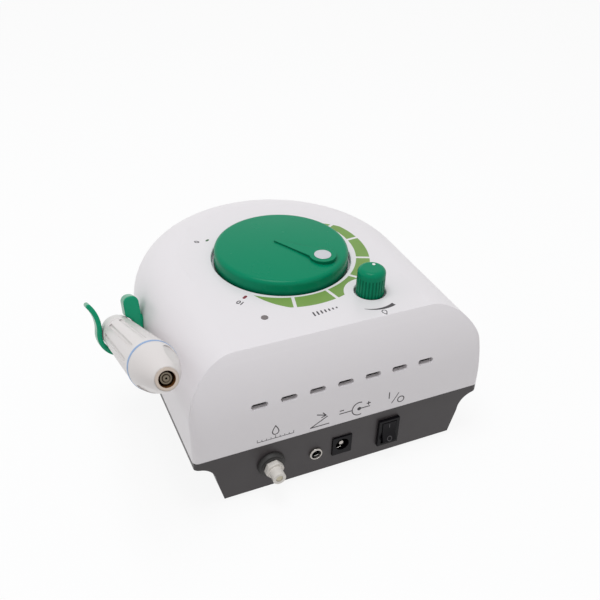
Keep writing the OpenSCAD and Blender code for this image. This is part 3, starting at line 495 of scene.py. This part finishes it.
top_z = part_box("upper_shell")[1].z
cover_width = 2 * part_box("upper_shell")[1].x
back_foot_z = 31.6 * mm
crease_setback = 14.3 * mm
solid_rounding = 9 * mm
crease_rounding = 0.5 * mm
crease_angles = (math.radians(35), math.radians(75))
side_fillet = 23.5 * mm
blank_depth = 20 * mm
blank_height = 40 * mm
rise = top_z - back_foot_z
back_radius = (rise ** 2 + crease_setback ** 2) / (2 * crease_setback)
back_axis = Vector((0, rear_y - back_radius, back_foot_z))
round_z = top_z - solid_rounding
round_y = back_axis.y + math.sqrt((back_radius - solid_rounding) ** 2 - (round_z - back_foot_z) ** 2)
round_axis = Vector((0, round_y, round_z))
top_edge = round_axis + Vector((0, 0, solid_rounding))
back_edge = back_axis + (round_axis - back_axis).normalized() * back_radius
bpy.ops.object.select_all(action="DESELECT")
bpy.ops.mesh.primitive_cube_add(size=1)
crease = bpy.context.object
crease.scale = (cover_width, blank_depth, blank_height)
crease.location = (0, round_y + blank_depth / 2, top_z - blank_height / 2)
bpy.ops.object.transform_apply(location=True, scale=True)
pick_edges(crease, lambda one, other: one.z + other.z > 0.9 and abs(one.x + other.x) > 0.9)
bpy.ops.mesh.bevel(offset=side_fillet, segments=48)
bpy.ops.object.mode_set(mode="OBJECT")
sideways = Vector((1, 0, 0))
drum_length = 200 * mm
drum = turned(back_axis + sideways * drum_length / 2, sideways, back_radius, drum_length, sides=120)
carved(crease, drum, "INTERSECT")
chord = back_edge - top_edge
trimmed(crease, top_edge, Vector((0, chord.z, -chord.y)).normalized())
pick_edges(crease, lambda one, other: crease_angles[0] < one.angle(other) < crease_angles[1])
bpy.ops.mesh.bevel(offset=crease_rounding, segments=3, clamp_overlap=True)
bpy.ops.object.mode_set(mode="OBJECT")
bpy.ops.object.shade_smooth_by_angle(angle=math.radians(30))
evened = crease.modifiers.new("evened", "WEIGHTED_NORMAL")
evened.keep_sharp = True
bpy.ops.object.modifier_apply(modifier=evened.name)
crease_moulding = moulded("crease_moulding", cover_white, **cover_look)
carried(crease, "rear_crease", crease_moulding)


# Printed power scale
# Olive ink, screen-printed on the cover in seven fields that widen towards the rear.
# They leave room for the knob.
def disc(at, radius, sides=256):
    """A round film of ink on the cover's top."""
    bpy.ops.object.select_all(action="DESELECT")
    bpy.ops.mesh.primitive_cylinder_add(vertices=sides, radius=radius, depth=film, location=at)
    bpy.ops.object.transform_apply(location=True)
    return bpy.context.object


film = 0.04 * mm
dial_at = middle("power_dial").xy.to_3d() + Vector((0, 0, top_z))
knob_at = middle("water_knob").xy.to_3d() + Vector((0, 0, top_z))
scale_outer = 42.9 * mm
scale_inner = 37.5 * mm
inner_shift = Vector((0.2, -2.4, 0)) * mm
end_radii = (35 * mm, 35.4 * mm)
end_reach = 14.9 * mm
end_angles = (122, 152)
end_fields = ((0,), (5, 6))
knob_room = 11.6 * mm
knob_shift = Vector((0.8, 0.7, 0)) * mm
field_gap = 1.5 * mm
field_edges = (40, 75.7, 103.3, 131.4, 158, 184.5, 208, 235)


def towards(angle):
    """A level direction, by its angle in degrees from +X."""
    return Vector((math.cos(math.radians(angle)), math.sin(math.radians(angle)), 0))


def ink(name, colour, mottle=0.15):
    """Dry printing ink, a little uneven."""
    return moulded(name, colour, roughness=0.5, grain=1500, grain_depth=0.004 * mm, mottle=mottle)


olive_ink = ink("olive_ink", (0.20, 0.36, 0.07), mottle=0.35)
crescent = carved(disc(dial_at, scale_outer), disc(dial_at + inner_shift, scale_inner))
carved(crescent, disc(knob_at + knob_shift, knob_room))
for count, (first, last) in enumerate(zip(field_edges, field_edges[1:])):
    field = crescent.copy()
    field.data = crescent.data.copy()
    bpy.context.scene.collection.objects.link(field)
    for edge, side in ((first, -1), (last, 1)):
        across = towards(edge + 90) * side
        trimmed(field, dial_at - across * field_gap / 2, across)
    for end, radius, fields in zip(end_angles, end_radii, end_fields):
        if count in fields:
            carved(field, disc(dial_at + towards(end) * end_reach, radius), "INTERSECT")
    carried(field, "scale_field_%d" % (count + 1), olive_ink)
bpy.data.objects.remove(crescent)

# Printed flow sign
# A grey stroke that swells round the knob, in the direction that opens the water.
grey_ink = ink("grey_ink", (0.052, 0.046, 0.052))
flow_outer = 15.2 * mm
flow_inner = 13.9 * mm
flow_shift = towards(0) * 1.9 * mm
flow_ends = (53, 111)
flow = carved(disc(knob_at, flow_outer), disc(knob_at + flow_shift, flow_inner))
for edge, side in zip(flow_ends, (-90, 90)):
    trimmed(flow, knob_at, towards(edge + side))
carried(flow, "flow_stroke", grey_ink)


# Printed signs on the top
# Plain numbers at both ends of the scale with a tick each, a row of rising bars, and a drop by the knob.
def blot(x, y, radius, sides=48):
    """A flat dot, in millimetres on the sheet."""
    bpy.ops.object.select_all(action="DESELECT")
    bpy.ops.mesh.primitive_circle_add(vertices=sides, radius=radius * mm, fill_type="NGON")
    dot = bpy.context.object
    dot.location = (x * mm, y * mm, 0)
    bpy.ops.object.transform_apply(location=True)
    return dot


def line(x0, y0, x1, y1, width=0.5):
    """A flat stroke with round ends."""
    stroke = blot(0, 0, radius=width / 2, sides=24)
    run = Vector((x1 - x0, y1 - y0))
    pick(stroke, lambda at: at.x > 0.01 * width * mm)
    bpy.ops.transform.translate(value=(run.length * mm, 0, 0))
    bpy.ops.object.mode_set(mode="OBJECT")
    stroke.location = (x0 * mm, y0 * mm, 0)
    stroke.rotation_euler.z = math.atan2(run.y, run.x)
    bpy.ops.object.transform_apply(location=True, rotation=True)
    return stroke


def hoop(x, y, radius, width=0.5):
    """A flat ring."""
    ring = blot(x, y, radius + width / 2)
    pick(ring, lambda at: True)
    bpy.ops.mesh.inset(thickness=width * mm, use_boundary=True)
    bpy.ops.mesh.delete(type="FACE")
    bpy.ops.object.mode_set(mode="OBJECT")
    return ring


drop_rise = 1.1
drop_spread = 1.5


def drop(x, y, radius, width=0.5):
    """The outline of a water drop with its point upwards."""
    outline = blot(0, 0, radius)
    pick(outline, lambda at: at.y > 0.999 * radius * mm)
    bpy.ops.transform.translate(value=(0, drop_rise * radius * mm, 0), use_proportional_edit=True,
                                proportional_edit_falloff="SHARP",
                                proportional_size=drop_spread * radius * mm)
    bpy.ops.mesh.select_all(action="SELECT")
    bpy.ops.mesh.inset(thickness=width * mm, use_boundary=True)
    bpy.ops.mesh.delete(type="FACE")
    bpy.ops.object.mode_set(mode="OBJECT")
    outline.location = (x * mm, y * mm, 0)
    bpy.ops.object.transform_apply(location=True)
    return outline


figure_height = 3.6 * mm
figure_weight = 0.09 * mm


def number(text):
    """A plain number, centred on the sheet."""
    bpy.ops.object.select_all(action="DESELECT")
    bpy.ops.object.text_add()
    figure = bpy.context.object
    figure.data.body = text
    figure.data.size = figure_height
    figure.data.offset = figure_weight
    figure.data.align_x = "CENTER"
    figure.data.align_y = "CENTER"
    bpy.ops.object.convert(target="MESH")
    return bpy.context.object


def printed(name, sheets, place, axis, surface, finish, body="console"):
    """Joins flat sheets, lays them on a surface along an axis, and gives them the thickness of ink."""
    bpy.ops.object.select_all(action="DESELECT")
    for part in sheets:
        part.select_set(True)
    bpy.context.view_layer.objects.active = sheets[0]
    bpy.ops.object.join()
    print_film = bpy.context.object
    print_film.matrix_world = place
    bpy.ops.object.transform_apply(location=True, rotation=True)
    bpy.ops.object.mode_set(mode="EDIT")
    bpy.ops.mesh.select_all(action="SELECT")
    bpy.ops.mesh.quads_convert_to_tris()
    bpy.ops.mesh.subdivide(number_cuts=2)
    bpy.ops.object.mode_set(mode="OBJECT")
    wrap = print_film.modifiers.new("wrap", "SHRINKWRAP")
    wrap.wrap_method = "PROJECT"
    wrap.use_project_y = axis == "Y"
    wrap.use_project_z = axis == "Z"
    wrap.use_negative_direction = True
    wrap.use_positive_direction = False
    wrap.target = surface
    bpy.ops.object.modifier_apply(modifier=wrap.name)
    body_of_ink = print_film.modifiers.new("thickness", "SOLIDIFY")
    body_of_ink.thickness = film
    body_of_ink.offset = 0.5
    bpy.ops.object.modifier_apply(modifier=body_of_ink.name)
    carried(print_film, name, finish, body)


clear_of_top = 2


def on_top(at, angle=0.0):
    """A place just over the cover's top, in millimetres."""
    above = Vector((*at, clear_of_top)) * mm + Vector((0, 0, top_z))
    return Matrix.Translation(above) @ Matrix.Rotation(angle, 4, "Z")


cover = nodes["upper_shell"]
green_ink = ink("green_ink", (0.03, 0.11, 0.03))
red_ink = ink("red_ink", (0.19, 0.008, 0.02))
high_number_at = (31.9, 30.3)
high_number_turn = math.radians(-52.3)
low_number_at = (33.6, -26.5)
low_number_turn = math.radians(-128.3)
printed("high_number", [number("10")], on_top(high_number_at, high_number_turn), "Z", cover, grey_ink)
printed("low_number", [number("0")], on_top(low_number_at, low_number_turn), "Z", cover, grey_ink)
middle_of_top = on_top((0, 0))
high_tick = line(28.0, 26.6, 29.1, 27.4, width=1.4)
low_tick = line(27.9, -26.5, 28.8, -25.9, width=1.2)
printed("high_tick", [high_tick], middle_of_top, "Z", cover, red_ink)
printed("low_tick", [low_tick], middle_of_top, "Z", cover, green_ink)
bars_at = (-0.6, 50)
bar_count = 7
bar_pitch = 1.9
bar_foot = -1.2
first_bar_top = -0.8
bar_growth = 0.33
bar_width = 0.8
bars = []
for count in range(bar_count):
    bar_x = (count - bar_count // 2) * bar_pitch
    bars.append(line(bar_x, bar_foot, bar_x, first_bar_top + bar_growth * count, bar_width))
printed("level_bars", bars, on_top(bars_at), "Z", cover, grey_ink)
bpy.ops.object.select_all(action="DESELECT")
bpy.ops.mesh.primitive_plane_add(size=cover_width, location=(0, 0, top_z))
flat = bpy.context.object
knob_drop_at = (-24.6, 59.3)
printed("knob_drop", [drop(0, 0, radius=1.25, width=0.4)], on_top(knob_drop_at), "Z", flat, grey_ink)
bpy.data.objects.remove(flat)


# Printed signs on the back
# Dark signs over each item: a drop over a ruled scale, a foot pedal, the plug's polarity, and on and off.
clear_of_back = 80


def on_back(x, z):
    """A place behind the cover's back, in millimetres, for signs that are read from there."""
    turn = Matrix(((-1, 0, 0, 0), (0, 0, 1, 0), (0, 1, 0, 0), (0, 0, 0, 1)))
    return Matrix.Translation(Vector((x, clear_of_back, z)) * mm) @ turn


water_sign_at = on_back(33.5, 29.8)
rule_end = 8.4
rule_pitch = 2.1
rule_ticks = 9
rule_y = 0.3
short_tick = 1.2
long_tick = 1.7
water = [drop(0, 3.9, radius=1.7, width=0.45), line(-rule_end, rule_y, rule_end, rule_y, width=0.3)]
for count in range(rule_ticks):
    tick_x = count * rule_pitch - rule_end
    tick_top = short_tick if count % 4 else long_tick
    water.append(line(tick_x, rule_y, tick_x, tick_top, width=0.25))
printed("water_sign", water, water_sign_at, "Y", cover, grey_ink)
pedal_sign_at = on_back(12.5, 29.7)
pedal = [line(-4.6, 0, 4.2, 0), line(-4.6, 0, 3.2, 4.4), line(-1.6, 6.6, 2.6, 5.2)]
pedal += [line(2.6, 5.2, 1.2, 6.8), line(2.6, 5.2, 0.6, 4.5)]
printed("pedal_sign", pedal, pedal_sign_at, "Y", cover, grey_ink)
polarity_sign_at = on_back(-4.2, 33.2)
cup = trimmed(hoop(2.2, 0, radius=3.5), Vector((3.4, 0, 0)) * mm, sideways)
polarity = [cup, line(-7.4, 0, -1.3, 0), blot(2.2, 0, radius=0.95), line(2.2, 0, 7.4, 0)]
polarity += [line(-7.2, 1.6, -5.6, 1.6), line(6.0, 1.8, 7.6, 1.8), line(6.8, 1.0, 6.8, 2.6)]
printed("polarity_sign", polarity, polarity_sign_at, "Y", cover, grey_ink)
on_off_sign_at = on_back(-24.6, 33.2)
on_off = [line(-3.2, 1.0, -3.2, 4.2), line(-1.6, -2.2, 1.6, 2.8, width=0.4), hoop(3.0, -1.2, radius=1.6)]
printed("on_off_sign", on_off, on_off_sign_at, "Y", cover, grey_ink)

# Printed signs on the rocker
# A grey ring on the half that stands out at rest, and a bar on the other.
rocker_ink = ink("rocker_ink", (0.055, 0.05, 0.055))
switch_x = middle("rocker").x / mm
switch_z = middle("rocker").z / mm
rocker_signs = [hoop(0, -3.4, radius=1.1, width=0.35), line(0, 2.6, 0, 4.4, width=0.35)]
on_rocker = on_back(switch_x, switch_z)
printed("rocker_signs", rocker_signs, on_rocker, "Y", rocker, rocker_ink, "rocker_body")

# Power dial
# A green cap with a low crown and a raised pointer, pushed on the control's shaft.
# A silver disc is let into its boss.
control_green = (0.0, 0.235, 0.115)
cap_look = {"roughness": 0.26, "grain": 1500, "grain_depth": 0.004 * mm, "edge": 0.35 * mm}
# Painted shade darkens the cap's crevices: the pointer's foot, the boss and the foot of the skirt.
green_cap = moulded("green_cap", control_green, crevice_shade=2.2 * mm, Specular_IOR_Level=0.1, **cap_look)
dress(green_cap, "power_dial")
silver_disc = metal("silver_disc", (0.62, 0.62, 0.66), roughness=0.35, lines=2000, line_depth=0.003 * mm,
                    stretch=(0.05, 1, 1))
dress(silver_disc, "dial_inlay")

# Water knob
# A tall green knob with fine flutes below a smooth domed cap, and a spot of white paint.
# Painted shade darkens the knob's flutes and its foot.
knob_cap = moulded("knob_cap", control_green, crevice_shade=0.7 * mm, Specular_IOR_Level=0.1, **cap_look)
dress(knob_cap, "water_knob")
spot_paint = moulded("spot_paint", (0.86, 0.86, 0.86), roughness=0.4, grain=2000, grain_depth=0.01 * mm)
dress(spot_paint, "knob_marker")

# Indicator
# A smoked lens in the cover, over a lamp.
smoked_lens = moulded("smoked_lens", (0.16, 0.135, 0.135), roughness=0.3, grain=800,
                      grain_depth=0.004 * mm, mottle=0.2, Coat_Weight=0.3)
dress(smoked_lens, "indicator_lens", "indicator_lamp")

# Handpiece holder
# A glossy green moulding screwed to the side: a thick arm, a cradle and a thin sprung arm.
# A fine skin is laid over the solid and polished, which rounds all its edges.
# Its green is the controls' green, made lighter: painted light for faces that turn away from the lamps.
lit_holder_green = moulded("lit_holder_green", (0.0, 0.30, 0.15), roughness=0.2, grain=700,
                       grain_depth=0.004 * mm, Specular_IOR_Level=0.22)
holder_skin = 0.3 * mm
holder_polish = 14
holder = merged("handpiece_holder", "holder")
skin = holder.modifiers.new("skin", "REMESH")
skin.mode = "VOXEL"
skin.voxel_size = holder_skin
bpy.ops.object.modifier_apply(modifier=skin.name)
polish = holder.modifiers.new("polish", "SMOOTH")
polish.iterations = holder_polish
bpy.ops.object.modifier_apply(modifier=polish.name)
bpy.ops.object.shade_smooth()
settled(holder, "holder", lit_holder_green, "handpiece_holder")

# Handpiece shell
# Warm white polymer that stands steam: a tail collar and a fluted grip, with a blue ring before the nose.
shell_white = (0.71, 0.665, 0.65)
shell_mottle = 0.03
# Painted shade darkens the grip's flutes and grooves.
sterile_white = moulded("sterile_white", shell_white, roughness=0.3, grain=900, grain_depth=0.005 * mm,
                        mottle=shell_mottle, edge=0.25 * mm, crevice_shade=0.8 * mm)
dress(sterile_white, "handpiece_grip", "tail_collar")
ring_blue = moulded("ring_blue", (0.21, 0.36, 0.62), roughness=0.35, grain=900, grain_depth=0.005 * mm,
                    edge=0.1 * mm)
dress(ring_blue, "colour_ring")


# Handpiece nose
# The same polymer, turned, with two spanner flats.
# Its rim is creamy from steam, and its bore is brown inside.
def reach(finish, point, along):
    """How far the surface is from an axis, and how far along that axis it is."""
    here = finish.node("ShaderNodeTexCoord", {}, {}, "Object")
    arm = finish.node("ShaderNodeVectorMath", {"operation": "SUBTRACT"}, {0: here, 1: point})
    swept = finish.node("ShaderNodeVectorMath", {"operation": "CROSS_PRODUCT"}, {0: arm, 1: along})
    away = finish.node("ShaderNodeVectorMath", {"operation": "LENGTH"}, {0: swept}, "Value")
    ahead = finish.node("ShaderNodeVectorMath", {"operation": "DOT_PRODUCT"}, {0: arm, 1: along}, "Value")
    return away, ahead


def far_end(node):
    """How far a solid reaches along the handpiece."""
    return max((point.co - ring_at).dot(pull) for point in nodes[node].data.vertices)


ring_at = middle("colour_ring")
pull = Vector(next(joint["axis"] for joint in frame["joints"] if joint["name"] == "handpiece_pull"))
hole_radius = 3.1 * mm
bore_margin = 0.08 * mm
rim_depth = 0.6 * mm
rim_cream = (0.66, 0.56, 0.48)
bore_brown = (0.17, 0.07, 0.02)
nose_white = moulded("nose_white", shell_white, roughness=0.3, grain=900, grain_depth=0.005 * mm,
                     mottle=shell_mottle, edge=0.6 * mm)
away, ahead = reach(nose_white, ring_at, pull)
shell_tint = nose_white.mix(shell_white, darker(shell_white, shell_mottle), nose_white.noise(mottle_scale))
with_rim = nose_white.mix(shell_tint, rim_cream, ahead > far_end("nose_cone") - rim_depth)
nose_white.set(Base_Color=nose_white.mix(with_rim, bore_brown, away < hole_radius + bore_margin))
dress(nose_white, "nose_cone")

# Handpiece core
# A steel horn with the tip's stud and a bush round it, a red seal, ceramic discs between brass electrodes,
# and a bolt through all.
horn_steel = metal("horn_steel", (0.20, 0.17, 0.13), roughness=0.38, lines=2500, line_depth=0.004 * mm)
dress(horn_steel, "horn")
stud_radius = 1.5 * mm
bush_radius = 2.3 * mm
bush_setback = 0.25 * mm
bush_front = far_end("horn") - bush_setback
bush_at = ring_at + pull * bush_front
bush_hole = turned(bush_at + pull * mm, pull, stud_radius, length=6 * mm)
bush = carved(turned(bush_at, pull, bush_radius, length=3 * mm), bush_hole)
carried(eased(bush, 0.2 * mm), "stud_bush", horn_steel, "handpiece")
seal_rubber = moulded("seal_rubber", (0.35, 0.045, 0.02), roughness=0.5, grain=900, grain_depth=0.01 * mm)
dress(seal_rubber, "horn_seal")
fired_ceramic = moulded("fired_ceramic", (0.55, 0.48, 0.33), roughness=0.6, grain=1200,
                        grain_depth=0.01 * mm)
dress(fired_ceramic, "piezo_rings")


# Floor and light
# A pale sheet runs under the unit, in an evenly lit room.
# One large softbox hangs over it, another stands on the handpiece's side.
class Sky(Finish):
    """The room round the unit, as a finish of the world."""

    def __init__(self, name, **sockets):
        world = bpy.data.worlds.new(name)
        bpy.context.scene.world = world
        world.use_nodes = True
        self.tree = world.node_tree
        self.shader = self.tree.nodes["Background"]
        self.set(**sockets)


def seen_directly(finish):
    """The share of a ray that comes from the camera, a reflection or a clear piece."""
    share = finish.node("ShaderNodeLightPath", {}, {}, "Is Camera Ray")
    for kind in ("Is Glossy Ray", "Is Transmission Ray"):
        more = finish.node("ShaderNodeLightPath", {}, {}, kind)
        share = finish.node("ShaderNodeMath", {"operation": "ADD", "use_clamp": True}, {0: share, 1: more})
    return share


def backed(finish, backdrop, share):
    """Shows a plain backdrop to a share of the rays, and the lit surface to the rest."""
    lit = Wire(finish, finish.shader.outputs[0])
    surface = lit.socket.links[0].to_socket
    finish.plug(surface, finish.node("ShaderNodeMixShader", {}, {0: share, 1: lit, 2: backdrop}))


bpy.ops.object.select_all(action="DESELECT")
bpy.ops.mesh.primitive_plane_add(size=8)
floor = bpy.context.object
floor.name = "floor"
white = (1, 1, 1)
paper_white = (0.9, 0.9, 0.9)
paper_share = 0.9
paper = Finish("paper", Base_Color=paper_white, Roughness=0.9)
paper_glow = paper.node("ShaderNodeEmission", {}, {"Color": white})
backed(paper, paper_glow, seen_directly(paper) * paper_share)
floor.data.materials.append(paper.material)
room_light = 0.5
sky = Sky("studio", Color=white, Strength=room_light)
sky_glow = sky.node("ShaderNodeBackground", {}, {"Color": white})
backed(sky, sky_glow, seen_directly(sky))
lit_point = Vector((0, 0, 0.05))


def softbox(name, at, size, power, tint):
    """A square lamp that faces the unit."""
    lamp = bpy.data.objects.new(name, bpy.data.lights.new(name, "AREA"))
    bpy.context.scene.collection.objects.link(lamp)
    lamp.data.shape = "SQUARE"
    lamp.data.size = size
    lamp.data.energy = power
    lamp.data.color = tint
    lamp.location = at
    lamp.rotation_euler = (lit_point - Vector(at)).to_track_quat("-Z", "Y").to_euler()


softbox("top_light", at=(0.1, 0.02, 0.9), size=0.42, power=3.9, tint=(0.94, 0.97, 1))
softbox("side_light", at=(0.9, -0.1, 0.6), size=0.35, power=0.4, tint=white)

bpy.context.scene.view_settings.view_transform = "Standard"
